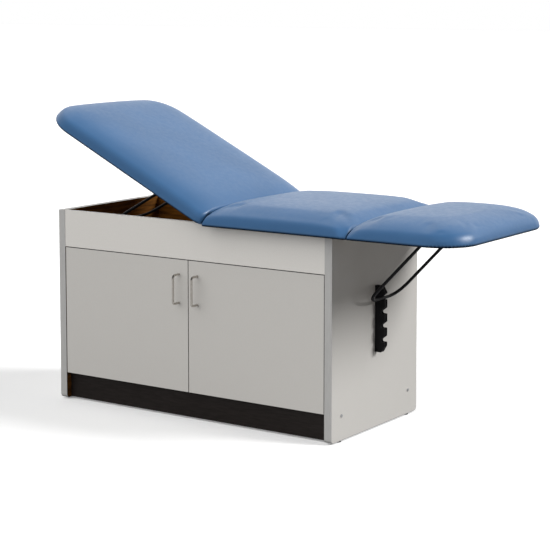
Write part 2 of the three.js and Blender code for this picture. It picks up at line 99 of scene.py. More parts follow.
CREASE_SHADE = 5 * MM        # and its width beside a crease
HEM_INSET = 6 * MM         # where it starts to fade as the cover turns in under the board
PAINTED_SHADE_GAIN = 1.6            # how quickly the painted shade reaches full depth
SEAT_CORNER_PULL, LEG_CORNER_PULL = 27 * MM, 12 * MM  # how far corners at the leg's crease go down
PULL_SPREAD = 24 * MM      # and how far from the corner that is felt
CORNER_DROOP = 5 * MM      # how much lower the top is towards a free corner
DROOP_SPREAD = 130 * MM    # and how far from the corner that is felt

FLOOR_HALF = 60            # metres
FLOOR_GLOW = 0.2           # lifts the floor to the backdrop's white
FLOOR_BOUNCE = 0.22        # how much light the floor returns to the table's underside
FLOOR_DIMMING = 0.6        # and how far its reflection in glossy pieces is dimmed to that
WORLD_LIGHT = 0.18         # the soft light of the surroundings
DARK_SIDE = 0.04           # how bright the room reflects in front of the table; behind it is white
BACKDROP_LIGHT = 1.25      # how bright the backdrop reflects
BACKDROP_EDGES = 0.2, 0.85 # where the reflected backdrop starts and where it is fully white
BACKDROP = (-0.56, 0.83, 0.35)  # the way to the white backdrop
KEY_FROM, KEY_STRENGTH, KEY_SOFTNESS = (1.25, 0.60, 0.90), 3.6, 24
FILL_FROM, FILL_STRENGTH, FILL_SOFTNESS = (-0.35, -1.0, 0.7), 2.4, 80

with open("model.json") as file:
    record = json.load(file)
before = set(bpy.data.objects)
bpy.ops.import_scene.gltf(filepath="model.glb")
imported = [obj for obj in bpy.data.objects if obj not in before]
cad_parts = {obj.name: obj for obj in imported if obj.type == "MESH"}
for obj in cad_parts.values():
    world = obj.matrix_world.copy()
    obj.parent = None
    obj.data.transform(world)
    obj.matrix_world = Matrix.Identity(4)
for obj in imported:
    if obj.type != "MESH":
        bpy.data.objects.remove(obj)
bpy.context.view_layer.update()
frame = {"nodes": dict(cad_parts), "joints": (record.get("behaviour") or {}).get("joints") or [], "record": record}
NODES = frame["nodes"]
JOINTS = {joint["name"]: joint for joint in frame["joints"]}
SLOT_OF = {part["node"]: part["material_slot"] for part in frame["record"]["subparts"]}


# ------------------------------------------------------------------ camera, light and floor
def make_camera():
    """A long lens at the three-quarter view from the foot end."""
    data = bpy.data.cameras.new("camera")
    data.lens = CAMERA_LENS
    data.shift_y = CAMERA_SHIFT
    data.clip_end = 200
    camera = bpy.data.objects.new("camera", data)
    bpy.context.scene.collection.objects.link(camera)
    camera.location = CAMERA_PLACE
    camera.rotation_euler = (math.radians(90 - CAMERA_PITCH), 0, math.radians(CAMERA_YAW))
    bpy.context.scene.camera = camera


def sun(name, towards, strength, softness, highlights=True):
    """Parallel light that comes from the direction towards; softness is the source's width in degrees."""
    data = bpy.data.lights.new(name, "SUN")
    data.energy = strength
    data.angle = math.radians(softness)
    light = bpy.data.objects.new(name, data)
    bpy.context.scene.collection.objects.link(light)
    light.visible_glossy = highlights
    light.rotation_euler = Vector(towards).to_track_quat("Z", "Y").to_euler()


def make_studio():
    """Soft white surroundings, a key from behind on the right, a fill from the front and a pale floor."""
    world = bpy.data.worlds.new("studio")
    bpy.context.scene.world = world
    world.use_nodes = True
    nodes, links = world.node_tree.nodes, world.node_tree.links
    background = nodes["Background"]
    background.inputs["Color"].default_value = (1, 1, 1, 1)
    where = nodes.new("ShaderNodeTexCoord")
    towards = nodes.new("ShaderNodeVectorMath")
    towards.operation = "DOT_PRODUCT"
    towards.inputs[1].default_value = BACKDROP
    links.new(where.outputs["Generated"], towards.inputs[0])
    reflected = map_range(nodes, links, towards.outputs["Value"], *BACKDROP_EDGES, DARK_SIDE, BACKDROP_LIGHT)
    path = nodes.new("ShaderNodeLightPath")
    lit = blend_value(nodes, links, path.outputs["Is Diffuse Ray"], reflected, WORLD_LIGHT)
    seen = blend_value(nodes, links, path.outputs["Is Camera Ray"], lit, 1.0)
    links.new(seen, background.inputs["Strength"])
    sun("key", KEY_FROM, KEY_STRENGTH, KEY_SOFTNESS)
    sun("fill", FILL_FROM, FILL_STRENGTH, FILL_SOFTNESS, highlights=False)
    bpy.context.scene.view_settings.view_transform = "Standard"

    floor_mesh = bpy.data.meshes.new("floor")
    half = FLOOR_HALF
    floor_mesh.from_pydata([(-half, -half, 0), (half, -half, 0), (half, half, 0), (-half, half, 0)],
                           [], [(0, 1, 2, 3)])
    floor = bpy.data.objects.new("floor", floor_mesh)
    bpy.context.scene.collection.objects.link(floor)
    material, nodes, links, shader = new_material("floor_paper")
    shader.inputs["Base Color"].default_value = (0.95, 0.95, 0.95, 1)
    shader.inputs["Roughness"].default_value = 0.9
    shader.inputs["Specular IOR Level"].default_value = 0.1
    shader.inputs["Emission Color"].default_value = (1, 1, 1, 1)
    shader.inputs["Emission Strength"].default_value = FLOOR_GLOW
    # The floor bounces less light than it shows, so the underside of the top stays in shade.
    path = nodes.new("ShaderNodeLightPath")
    dull = nodes.new("ShaderNodeBsdfDiffuse")
    dull.inputs["Color"].default_value = (FLOOR_BOUNCE, FLOOR_BOUNCE, FLOOR_BOUNCE, 1)
    mix = nodes.new("ShaderNodeMixShader")
    share = nodes.new("ShaderNodeMath")
    share.operation = "MULTIPLY_ADD"
    share.inputs[1].default_value = FLOOR_DIMMING
    links.new(path.outputs["Is Glossy Ray"], share.inputs[0])
    links.new(path.outputs["Is Diffuse Ray"], share.inputs[2])
    links.new(share.outputs["Value"], mix.inputs["Fac"])
    links.new(shader.outputs["BSDF"], mix.inputs[1])
    links.new(dull.outputs["BSDF"], mix.inputs[2])
    links.new(mix.outputs["Shader"], nodes["Material Output"].inputs["Surface"])
    floor.data.materials.append(material)


# ------------------------------------------------------------------ material helpers
def new_material(name):
    material = bpy.data.materials.new(name)
    material.use_nodes = True
    tree = material.node_tree
    return material, tree.nodes, tree.links, tree.nodes["Principled BSDF"]


def coordinates(nodes, links, scale=(1, 1, 1)):
    """The piece's own coordinates, stretched by scale: patterns keep their real size on it."""
    where = nodes.new("ShaderNodeTexCoord")
    mapping = nodes.new("ShaderNodeMapping")
    mapping.inputs["Scale"].default_value = scale
    links.new(where.outputs["Object"], mapping.inputs["Vector"])
    return mapping.outputs["Vector"]


def noise(nodes, links, vector, scale, detail=3.0, rough=0.5):
    node = nodes.new("ShaderNodeTexNoise")
    node.inputs["Scale"].default_value = scale
    node.inputs["Detail"].default_value = detail
    node.inputs["Roughness"].default_value = rough
    links.new(vector, node.inputs["Vector"])
    return node.outputs["Fac"]


def ramp(nodes, links, value, stops):
    """A colour for each stop of value; stops are (position, (r, g, b))."""
    node = nodes.new("ShaderNodeValToRGB")
    links.new(value, node.inputs["Fac"])
    elements = node.color_ramp.elements
    while len(elements) < len(stops):
        elements.new(0.5)
    for element, (position, colour) in zip(elements, stops):
        element.position = position
        element.color = (*colour, 1)
    return node.outputs["Color"]


def map_range(nodes, links, value, from_low, from_high, low, high):
    node = nodes.new("ShaderNodeMapRange")
    for name, number in (("From Min", from_low), ("From Max", from_high), ("To Min", low), ("To Max", high)):
        node.inputs[name].default_value = number
    links.new(value, node.inputs["Value"])
    return node.outputs["Result"]


def spread(nodes, links, value, low, high):
    """Noise, which is mostly from 0.3 to 0.7, spread over low to high."""
    return map_range(nodes, links, value, 0.3, 0.7, low, high)


def blend_value(nodes, links, share, first, second):
    """first where share is 0 and second where it is 1; second may be a plain number."""
    node = nodes.new("ShaderNodeMix")
    links.new(share, node.inputs["Factor"])
    links.new(first, node.inputs["A"])
    if isinstance(second, float):
        node.inputs["B"].default_value = second
    else:
        links.new(second, node.inputs["B"])
    return node.outputs["Result"]


def blend_colour(nodes, links, share, first, second):
    """first where share is 0 and second where it is 1; either may be a plain (r, g, b)."""
    node = nodes.new("ShaderNodeMix")
    node.data_type = "RGBA"
    links.new(share, node.inputs["Factor"])
    for name, colour in (("A", first), ("B", second)):
        if isinstance(colour, tuple):
            node.inputs[name].default_value = (*colour, 1)
        else:
            links.new(colour, node.inputs[name])
    return node.outputs["Result"]


def bump(nodes, links, height, distance, strength, below=None):
    node = nodes.new("ShaderNodeBump")
    node.inputs["Distance"].default_value = distance
    node.inputs["Strength"].default_value = strength
    links.new(height, node.inputs["Height"])
    if below is not None:
        links.new(below, node.inputs["Normal"])
    return node.outputs["Normal"]


def shade(colour, factor):
    return tuple(channel * factor for channel in colour)


# ------------------------------------------------------------------ materials
LAMINATE = (0.57, 0.552, 0.523)
# Painted shade: the near-black colour on the doors' edges, so the gaps round the doors look dark.
GAP_SHADE = (0.012, 0.011, 0.010)
APRON_PAINTED_LIGHT, RIGHT_PANEL_PAINTED_SHADE = 1.22, 0.87  # painted light and shade: the apron lighter and the right panel darker than the doors, as the light falls
BROWN_DARK, BROWN_LIGHT = (0.05, 0.018, 0.003), (0.21, 0.082, 0.013)


def vinyl_material():
    """Smooth upholstery vinyl: a fine pebble grain, slow waves and slight changes of sheen."""
    material, nodes, links, shader = new_material("pad_vinyl")
    colour = (0.038, 0.115, 0.25)
    vector = coordinates(nodes, links)
    patches = noise(nodes, links, vector, 5, 2)
    paint = ramp(nodes, links, patches, [(0.3, shade(colour, 0.95)), (0.7, shade(colour, 1.05))])
    # Painted shade: this attribute makes the lower edge and the lines beside the creases dark and dull.
    painted_shade_node = nodes.new("ShaderNodeAttribute")
    painted_shade_node.attribute_name = "painted_shade"
    links.new(blend_colour(nodes, links, painted_shade_node.outputs["Fac"], paint, shade(colour, 0.06)),
              shader.inputs["Base Color"])
    gloss = spread(nodes, links, noise(nodes, links, vector, 60, 3), 0.36, 0.44)
    links.new(blend_value(nodes, links, painted_shade_node.outputs["Fac"], gloss, 0.8), shader.inputs["Roughness"])
    links.new(map_range(nodes, links, painted_shade_node.outputs["Fac"], 0.0, 1.0, 0.5, 0.05),
              shader.inputs["Specular IOR Level"])
    grain = nodes.new("ShaderNodeTexVoronoi")
    grain.feature = "SMOOTH_F1"
    grain.inputs["Scale"].default_value = 650
    links.new(vector, grain.inputs["Vector"])
    waves = bump(nodes, links, noise(nodes, links, vector, 11, 1), 3 * MM, 0.25)
    links.new(bump(nodes, links, grain.outputs["Distance"], 0.25 * MM, 0.35, waves),
              shader.inputs["Normal"])
    return material


def laminate_pattern(nodes, links, painted_light=1.0):
    """Colour, roughness and normal of satin laminate: faint mottle, fine specks, a pressed surface."""
    # Painted light: the colour is scaled lighter or darker as the light falls on this board.
    colour = shade(LAMINATE, painted_light)
    vector = coordinates(nodes, links)
    specks = noise(nodes, links, vector, 420, 2, 0.7)
    paint = ramp(nodes, links, specks, [(0.35, shade(colour, 0.965)), (0.65, shade(colour, 1.03))])
    mottle = noise(nodes, links, vector, 14, 3)
    waves = bump(nodes, links, mottle, 0.4 * MM, 0.10)
    normal = bump(nodes, links, noise(nodes, links, vector, 700, 2), 0.08 * MM, 0.3, waves)
    return paint, spread(nodes, links, mottle, 0.44, 0.56), normal


def laminate_material():
    """Laminate on a door's front and back, and painted shade on its edges: near-black, so the gaps round it look
    dark.
    """
    material, nodes, links, shader = new_material("cabinet_laminate")
    paint, gloss, normal = laminate_pattern(nodes, links)
    facing = nodes.new("ShaderNodeTexCoord")
    split = nodes.new("ShaderNodeSeparateXYZ")
    links.new(facing.outputs["Normal"], split.inputs["Vector"])
    size = nodes.new("ShaderNodeMath")
    size.operation = "ABSOLUTE"
    links.new(split.outputs["Y"], size.inputs[0])
    # painted shade: faces that look sideways, the door's edges, are near-black
    links.new(blend_colour(nodes, links, size.outputs["Value"], GAP_SHADE, paint),
              shader.inputs["Base Color"])
    links.new(gloss, shader.inputs["Roughness"])
    links.new(normal, shader.inputs["Normal"])
    return material


def faced_board(name, axis, plane, brown_side, painted_light):
    """Laminate on every face but the one that lies at plane, which is bare brown board.

    brown_side is 1 where that face is the board's highest along axis, and -1 where it is the lowest."""
    material, nodes, links, shader = new_material(name)
    paint, gloss, normal = laminate_pattern(nodes, links, painted_light)
    streaks = noise(nodes, links, coordinates(nodes, links, (1.2, 1.2, 14)), 7, 5, 0.6)
    brown = ramp(nodes, links, streaks, [(0.3, BROWN_DARK), (0.72, BROWN_LIGHT)])
    where = nodes.new("ShaderNodeTexCoord")
    split = nodes.new("ShaderNodeSeparateXYZ")
    links.new(where.outputs["Object"], split.inputs["Vector"])
    depth = map_range(nodes, links, split.outputs[axis], plane - brown_side * 0.4 * MM,
                      plane - brown_side * 0.2 * MM, 0.0, 1.0)
    links.new(blend_colour(nodes, links, depth, paint, brown), shader.inputs["Base Color"])
    links.new(blend_value(nodes, links, depth, gloss, 0.8), shader.inputs["Roughness"])
    links.new(map_range(nodes, links, depth, 0.0, 1.0, 0.5, 0.08), shader.inputs["Specular IOR Level"])
    links.new(normal, shader.inputs["Normal"])
    return material


def edge_band_material():
    """Silver-grey plastic edging with fine drawn lines along its length."""
    material, nodes, links, shader = new_material("edge_band")
    colour = (0.44, 0.435, 0.425)
    vector = coordinates(nodes, links, (1, 1, 0.06))
    lines = noise(nodes, links, vector, 500, 2)
    links.new(ramp(nodes, links, lines, [(0.3, shade(colour, 0.93)), (0.7, shade(colour, 1.05))]),
              shader.inputs["Base Color"])
    links.new(spread(nodes, links, lines, 0.32, 0.46), shader.inputs["Roughness"])
    links.new(bump(nodes, links, lines, 0.06 * MM, 0.3), shader.inputs["Normal"])
    return material


def wood_material(name, dark, light, stretch, scale, roughness):
    """Board with streaks along X, worn to a slightly rougher surface between them."""
    material, nodes, links, shader = new_material(name)
    vector = coordinates(nodes, links, stretch)
    streaks = noise(nodes, links, vector, scale, 5, 0.6)
    links.new(ramp(nodes, links, streaks, [(0.3, dark), (0.72, light)]), shader.inputs["Base Color"])
    links.new(spread(nodes, links, streaks, roughness + 0.08, roughness - 0.06),
              shader.inputs["Roughness"])
    links.new(bump(nodes, links, streaks, 0.3 * MM, 0.35), shader.inputs["Normal"])
    shader.inputs["Specular IOR Level"].default_value = 0.25
    return material


def black_steel_material():
    """Satin black paint: an orange-peel surface with the odd duller patch."""
    material, nodes, links, shader = new_material("black_steel")
    vector = coordinates(nodes, links)
    patches = noise(nodes, links, vector, 30, 3)
    links.new(ramp(nodes, links, patches, [(0.3, (0.004, 0.004, 0.005)), (0.7, (0.009, 0.009, 0.010))]),
              shader.inputs["Base Color"])
    links.new(spread(nodes, links, patches, 0.36, 0.48), shader.inputs["Roughness"])
    links.new(bump(nodes, links, noise(nodes, links, vector, 450, 2), 0.08 * MM, 0.4),
              shader.inputs["Normal"])
    shader.inputs["Specular IOR Level"].default_value = 0.12
    return material


def metal_material(name, colour, stretch, scale, smooth, rough):
    """Bare metal with drawn or rolled streaks in its brightness and roughness."""
    material, nodes, links, shader = new_material(name)
    vector = coordinates(nodes, links, stretch)
    streaks = noise(nodes, links, vector, scale, 4, 0.6)
    links.new(ramp(nodes, links, streaks, [(0.3, shade(colour, 0.86)), (0.7, shade(colour, 1.1))]),
              shader.inputs["Base Color"])
    links.new(spread(nodes, links, streaks, smooth, rough), shader.inputs["Roughness"])
    links.new(bump(nodes, links, streaks, 0.04 * MM, 0.3), shader.inputs["Normal"])
    shader.inputs["Metallic"].default_value = 1
    return material


def plastic_material(name, colour):
    material, nodes, links, shader = new_material(name)
    vector = coordinates(nodes, links)
    patches = noise(nodes, links, vector, 120, 3)
    links.new(ramp(nodes, links, patches, [(0.3, shade(colour, 0.8)), (0.7, shade(colour, 1.2))]),
              shader.inputs["Base Color"])
    links.new(spread(nodes, links, patches, 0.5, 0.68), shader.inputs["Roughness"])
    links.new(bump(nodes, links, noise(nodes, links, vector, 600, 2), 0.1 * MM, 0.4),
              shader.inputs["Normal"])
    return material


def make_materials():
    """One finish for each material slot of the record."""
    return {
        "pad_vinyl": vinyl_material(),
        "cabinet_laminate": laminate_material(),
        "edge_band": edge_band_material(),
        "raw_board": wood_material("raw_board", BROWN_DARK, BROWN_LIGHT,
                                   (1, 14, 14), 7, 0.6),
        "kick_board": wood_material("kick_board", (0.009, 0.007, 0.006), (0.015, 0.011, 0.010),
                                    (1, 10, 10), 20, 0.55),
        "section_board": wood_material("section_board", (0.26, 0.16, 0.08), (0.42, 0.29, 0.15),
                                       (1, 12, 12), 9, 0.7),
        "glide_plastic": plastic_material("glide_plastic", (0.02, 0.02, 0.02)),
        "black_steel": black_steel_material(),
        "handle_steel": metal_material("handle_steel", (0.52, 0.49, 0.45), (1, 1, 0.05), 900, 0.24, 0.36),
        "zinc_steel": metal_material("zinc_steel", (0.45, 0.46, 0.47), (1, 0.4, 1), 90, 0.32, 0.5),
    }


def dress_cad_nodes(materials):
    """Each node in its slot's finish; the four boards round the well are brown on their inner face."""
    finishes = {name: materials[SLOT_OF[name]] for name in NODES}
    # The apron and the right end panel get painted light and shade: lighter and darker copies of the laminate.
    for name, axis, brown_side, painted_light in (
            ("left_end_panel", "X", 1, 1.0), ("right_end_panel", "X", -1, RIGHT_PANEL_PAINTED_SHADE),
            ("front_apron", "Y", 1, APRON_PAINTED_LIGHT), ("back_panel", "Y", -1, 1.0)):
        low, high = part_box(name)
        plane = (high if brown_side > 0 else low)["XYZ".index(axis)]
        finishes[name] = faced_board(f"{name}_board", axis, plane, brown_side, painted_light)
    for name, node in NODES.items():
        node.data.materials.clear()
        node.data.materials.append(finishes[name])


# ------------------------------------------------------------------ pad shapes
# An end that meets another pad: the share of the height left there, the lean of its face, how far in
# the board's pocket ends, how far the corners are pulled down, and the pocket's corner radius.
Crease = namedtuple("Crease", "share lean inset pull board_radius")


class Pad:
    """One section's pad, drawn in (u, v, w): u from its hinge along it, v across, w up from the axis.

    creases are for its start and its end, with None for a free end."""

    def __init__(self, name, body, hinge, direction, angle, creases):
        self.name = name
        self.body = body
        self.length = PAD_LENGTH[name]
        self.hinge = Vector(hinge)
        tilt = math.radians(angle)
        self.along = Vector((direction * math.cos(tilt), 0, math.sin(tilt)))
        self.up = Vector((-direction * math.sin(tilt), 0, math.cos(tilt)))
        self.start, self.end = creases
        self.start_radius = START_RADIUS[name]
        self.end_radius = END_RADIUS.get(name, CREASE_RADIUS)

    def place(self, points):
        """Points in (u, v, w) as points of the row frame."""
        points = np.asarray(points, float)
        return (np.array(self.hinge) + points[:, :1] * np.array(self.along)
                + points[:, 1:2] * np.array((0, 1, 0)) + points[:, 2:] * np.array(self.up))

    def inset(self, u, v):
        """How far inside the free sides a point lies."""
        across = np.abs(v) - PAD_HALF_WIDTH
        if self.end:
            return -across
        qv = across + self.end_radius
        qu = u - self.length + self.end_radius
        outside = np.hypot(np.maximum(qv, 0), np.maximum(qu, 0))
        return self.end_radius - outside - np.minimum(np.maximum(qv, qu), 0)

    def height(self, u, v):
        """The top's height over the plan."""
        free = np.maximum(self.inset(u, v), 0)
        top = EDGE_HEIGHT + CROWN_RISE * (1 - np.exp(-free / CROWN_SPREAD))
        top = top + CROWN_MIDDLE * (1 - (v / PAD_HALF_WIDTH) ** 2)
        for crease, distance in ((self.start, u), (self.end, self.length - u)):
            if not crease:
                continue
            top = top * (1 - (1 - crease.share) * np.exp(-np.maximum(distance, 0) / CREASE_SPREAD))
            corner = np.hypot(distance, PAD_HALF_WIDTH - np.abs(v))
            top = top - crease.pull * np.exp(-(corner / PULL_SPREAD) ** 2)
        if not self.end:
            corner = np.hypot(self.length - u, PAD_HALF_WIDTH - np.abs(v))
            top = top - CORNER_DROOP * np.exp(-(corner / DROOP_SPREAD) ** 2)
        return np.maximum(top - SWELL, LOWEST_TOP)


def rounded_loop(u0, u1, half, start_radius, end_radius, steps):
    """A rounded rectangle as a closed loop of points that starts in the middle of its first corner.

    steps holds how many faces go along a side, a start, an end, a start corner and an end corner."""
    long_steps, start_steps, end_steps, start_arc, end_arc = steps
    corners = [(u0 + start_radius, start_radius - half, start_radius, start_arc, 180),
               (u1 - end_radius, end_radius - half, end_radius, end_arc, 270),
               (u1 - end_radius, half - end_radius, end_radius, end_arc, 0),
               (u0 + start_radius, half - start_radius, start_radius, start_arc, 90)]
    straight = [long_steps, end_steps, long_steps, start_steps]
    points = []
    for index, (cu, cv, radius, arc, first) in enumerate(corners):
        angles = np.radians(first + np.linspace(0, 90, arc + 1))
        turn = np.stack([cu + radius * np.cos(angles), cv + radius * np.sin(angles)], 1)
        nu, nv, next_radius, _, next_first = corners[(index + 1) % 4]
        angle = math.radians(next_first)
        reach = np.array([nu + next_radius * math.cos(angle), nv + next_radius * math.sin(angle)])
        fractions = np.linspace(0, 1, straight[index] + 1)[1:-1, None]
        points += [turn, turn[-1] + (reach - turn[-1]) * fractions]
    return np.roll(np.concatenate(points), -(start_arc // 2), axis=0)


def side_shares(steps):
    """For each point of a loop: its share of the start side, and of the end side."""
    long_steps, start_steps, end_steps, start_arc, end_arc = steps

    def rise(count):
        return list(np.sin(np.linspace(0, math.pi / 2, count + 1)) ** 2)

    start = (rise(start_arc)[::-1] + [0] * (long_steps - 1) + [0] * (end_arc + 1)
             + [0] * (end_steps - 1) + [0] * (end_arc + 1) + [0] * (long_steps - 1)
             + rise(start_arc) + [1] * (start_steps - 1))
    end = ([0] * (start_arc + 1) + [0] * (long_steps - 1) + rise(end_arc) + [1] * (end_steps - 1)
           + rise(end_arc)[::-1] + [0] * (long_steps - 1) + [0] * (start_arc + 1)
           + [0] * (start_steps - 1))
    turn = -(start_arc // 2)
    return np.roll(start, turn), np.roll(end, turn)


def fill_grid(loop, nu, nv):
    """An (nu + 1) by (nv + 1) grid inside a loop of 2 (nu + nv) points, relaxed to even faces."""
    near = loop[:nu + 1]
    far_end = loop[nu:nu + nv + 1]
    far = loop[nu + nv:2 * nu + nv + 1][::-1]
    start = np.concatenate([loop[2 * nu + nv:], loop[:1]])[::-1]
    s = np.linspace(0, 1, nu + 1)[:, None, None]
    t = np.linspace(0, 1, nv + 1)[None, :, None]
    grid = ((1 - t) * near[:, None] + t * far[:, None] + (1 - s) * start[None] + s * far_end[None]
            - (1 - s) * (1 - t) * near[0] - s * (1 - t) * near[-1]
            - (1 - s) * t * far[0] - s * t * far[-1])
    for _ in range(RELAX_ROUNDS):
        grid[1:-1, 1:-1] = (grid[2:, 1:-1] + grid[:-2, 1:-1] + grid[1:-1, 2:] + grid[1:-1, :-2]) / 4
    return grid


def pad_rings(pad, steps):
    """The loops of a pad's cover from the edge of its top down the side and in round its board.

    Each is a loop of (u, v) points and their heights."""
    start_share, end_share = side_shares(steps)
    at_start = start_share * (1 if pad.start else 0)
    at_end = end_share * (1 if pad.end else 0)
    crease = np.clip(at_start + at_end, 0, 1)
    start_inset = pad.start.inset
    end_inset = pad.end.inset if pad.end else BOARD_INSET

    def loop_at(free, start, end, tuck=0.0):
        """The outline moved in by free, start and end; tuck is how far its corners follow the board's."""
        far = end if pad.end else free
        start_radius = pad.start_radius + (pad.start.board_radius - pad.start_radius) * tuck
        end_radius = pad.end_radius - free
        if pad.end:
            end_radius = CREASE_RADIUS + (pad.end.board_radius - CREASE_RADIUS) * tuck
        return rounded_loop(start, pad.length - far, PAD_HALF_WIDTH - free,
                            max(start_radius - min(free, start) * (1 - tuck), SMALLEST_RADIUS),
                            max(end_radius, SMALLEST_RADIUS), steps)

    rings = []
    for turn in np.radians([90, 66, 44, 22, 0]):
        free = ROUND_FREE * (1 - math.cos(turn)) + 1 * MM
        tight = CREASE_GAP + ROUND_CREASE * (1 - math.cos(turn))
        loop = loop_at(free, tight, tight)
        top = pad.height(loop[:, 0], loop[:, 1])
        radius = np.minimum(ROUND_FREE + (ROUND_CREASE - ROUND_FREE) * crease, top / 2)
        rings.append((loop, top - radius * (1 - math.sin(turn))))
    side_top = rings[-1][1]
    over_hinge = np.clip((HINGE_HALF - np.abs(rings[-1][0][:, 1])) / HINGE_FADE, 0, 1) * crease
    lowest = COVER_LOW + HINGE_ROOM * over_hinge
    # (how far in, share of the height from the lowest point to the side's top)
    for inset, share in ((0.0, 0.72), (0.4, 0.46), (2.4, 0.22), (5.6, 0.06)):
        loop = loop_at(inset * MM, CREASE_GAP, CREASE_GAP)
        rings.append((loop, lowest + (side_top - lowest) * share))
    # (how far in, height, share of the way to the board's pocket), the first two in millimetres
    turned_in = [(9.0, 0.4, 0.4), (11.0, 1.6, 0.6), (14.0, 3.4, 0.8), (HEM_WIDTH / MM, 3.5, 0.9),
                 (HEM_WIDTH / MM, 4.6, 0.95), (BOARD_INSET / MM, 4.7, 1.0)]
    for inset, height, share in turned_in:
        at_crease = [CREASE_GAP + (limit - CREASE_GAP) * share for limit in (start_inset, end_inset)]
        loop = loop_at(inset * MM, at_crease[0], at_crease[1], share)
        rings.append((loop, height * MM + np.maximum(lowest - height * MM, 0) * crease))
    loop = loop_at(BOARD_INSET, start_inset, end_inset, 1.0)
    rings.append((loop, np.full(len(loop), BOARD_HIGH)))
    return rings


def face_lean(pad, crease, w):
    """How far a crease's face has moved in at height w."""
    lean = crease.lean * w
    if pad.name == "seat" and crease.lean:
        lean = np.maximum(lean, np.minimum(UNDERCUT_SLOPE * w, UNDERCUT))
    return lean


def make_pad_mesh(pad):
    """The pad's closed mesh in (u, v, w), with a group of the points that the simulation holds."""
    end_arc = SMALL_ARC_STEPS if pad.end else ARC_STEPS
    nu = 2 * round(pad.length / GRID / 2)
    nv = 2 * round(2 * PAD_HALF_WIDTH / GRID / 2)
    long_steps = nu - SMALL_ARC_STEPS // 2 - end_arc // 2
    steps = (long_steps, nv - SMALL_ARC_STEPS, nv - end_arc, SMALL_ARC_STEPS, end_arc)
    rings = pad_rings(pad, steps)
    count = 2 * (nu + nv)

    loop, _ = rings[0]
    top = fill_grid(loop, nu, nv)
    heights = pad.height(top[..., 0], top[..., 1])
    for _ in range(SMOOTH_ROUNDS):
        heights[1:-1, 1:-1] = (heights[1:-1, 1:-1] * 2 + (heights[2:, 1:-1] + heights[:-2, 1:-1]
                               + heights[1:-1, 2:] + heights[1:-1, :-2]) / 2) / 4
    ceiling = fill_grid(rings[-1][0], nu, nv)

    def grid_loop(base):
        """Indices of a grid's edge in the loop's order."""
        def index(i, j):
            return base + i * (nv + 1) + j

        return ([index(i, 0) for i in range(nu)] + [index(nu, j) for j in range(nv)]
                + [index(i, nv) for i in range(nu, 0, -1)] + [index(0, j) for j in range(nv, 0, -1)])

    points = [np.dstack([top, heights]).reshape(-1, 3)]
    faces = []
    size = (nu + 1) * (nv + 1)
    for i in range(nu):
        for j in range(nv):
            a = i * (nv + 1) + j
            faces.append((a, a + nv + 1, a + nv + 2, a + 1))
    previous = grid_loop(0)
    total = size
    for loop, height in rings[1:-1]:
        points.append(np.column_stack([loop, height]))
        current = list(range(total, total + count))
        total += count
        faces += [(previous[k], current[k], current[(k + 1) % count], previous[(k + 1) % count])
                  for k in range(count)]
        previous = current
    points.append(np.dstack([ceiling, np.full(ceiling.shape[:2], BOARD_HIGH)]).reshape(-1, 3))
    current = grid_loop(total)
    faces += [(previous[k], current[k], current[(k + 1) % count], previous[(k + 1) % count])
              for k in range(count)]
    for i in range(nu):
        for j in range(nv):
            a = total + i * (nv + 1) + j
            faces.append((a, a + 1, a + nv + 2, a + nv + 1))
    points = np.concatenate(points)
    for crease, sign, origin in ((pad.start, 1, 0), (pad.end, -1, pad.length)):
        if crease:
            distance = sign * (points[:, 0] - origin)
            fade = np.clip(1 - distance / LEAN_REACH, 0, 1) ** 2
            points[:, 0] += sign * face_lean(pad, crease, points[:, 2]) * fade
    held = np.clip((FREE_ABOVE - points[:, 2]) / (FREE_ABOVE - HELD_BELOW), 0, 1)
    held[total:] = 1
    return points, faces, held


def mesh_object(name, points, faces):
    mesh = bpy.data.meshes.new(name)
    mesh.from_pydata([tuple(p) for p in points], [], faces)
    mesh.validate()
    mesh.polygons.foreach_set("use_smooth", [True] * len(mesh.polygons))
    piece = bpy.data.objects.new(name, mesh)
    bpy.context.scene.collection.objects.link(piece)
    return piece


def coordinates_of(mesh):
    flat = np.zeros(len(mesh.vertices) * 3)
    mesh.vertices.foreach_get("co", flat)
    return flat.reshape(-1, 3)


